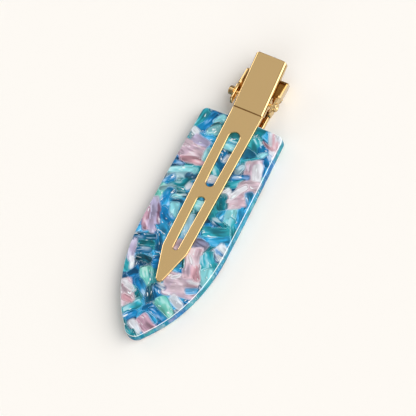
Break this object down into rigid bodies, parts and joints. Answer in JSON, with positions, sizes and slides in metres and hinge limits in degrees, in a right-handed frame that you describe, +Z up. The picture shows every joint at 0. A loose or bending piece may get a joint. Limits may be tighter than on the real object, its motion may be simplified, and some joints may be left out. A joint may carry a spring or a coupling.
{
  "type": "no-crease hair clip",
  "caption": "Sprung hair clip whose flat slotted metal blade closes on a bullet-shaped marbled acetate plate; the raised handle is pinched to open it.",
  "frame": {"origin": "the middle of the clip's footprint, on the surface that it lies on", "axes": "+Y runs along the clip from the plate's tip to the handle, +X to the right, +Z up through the plate to the blade"},
  "size_m": [0.0244, 0.0802, 0.0074],
  "materials": {
    "acetate": "polished marbled cellulose acetate in blue, teal, mint and pink",
    "gold_plated_steel": "bright pale gold plating on stamped steel",
    "spring_wire": "gold-plated spring wire"
  },
  "bodies": {
    "base": {"plate": "acetate", "lower_jaw": "gold_plated_steel", "hinge_pin": "gold_plated_steel", "spring": "spring_wire"},
    "blade": {"upper_jaw": "gold_plated_steel"}
  },
  "joints": [
    {"name": "jaw_hinge", "type": "hinge", "parent": "base", "child": "blade", "pos_m": [0, 0.02877, 0.0039], "axis": [-1, 0, 0], "range_deg": [0, 25], "stiffness_Nm_per_rad": 0.02, "springref_deg": -28.65, "deforming": ["spring"]}
  ]
}
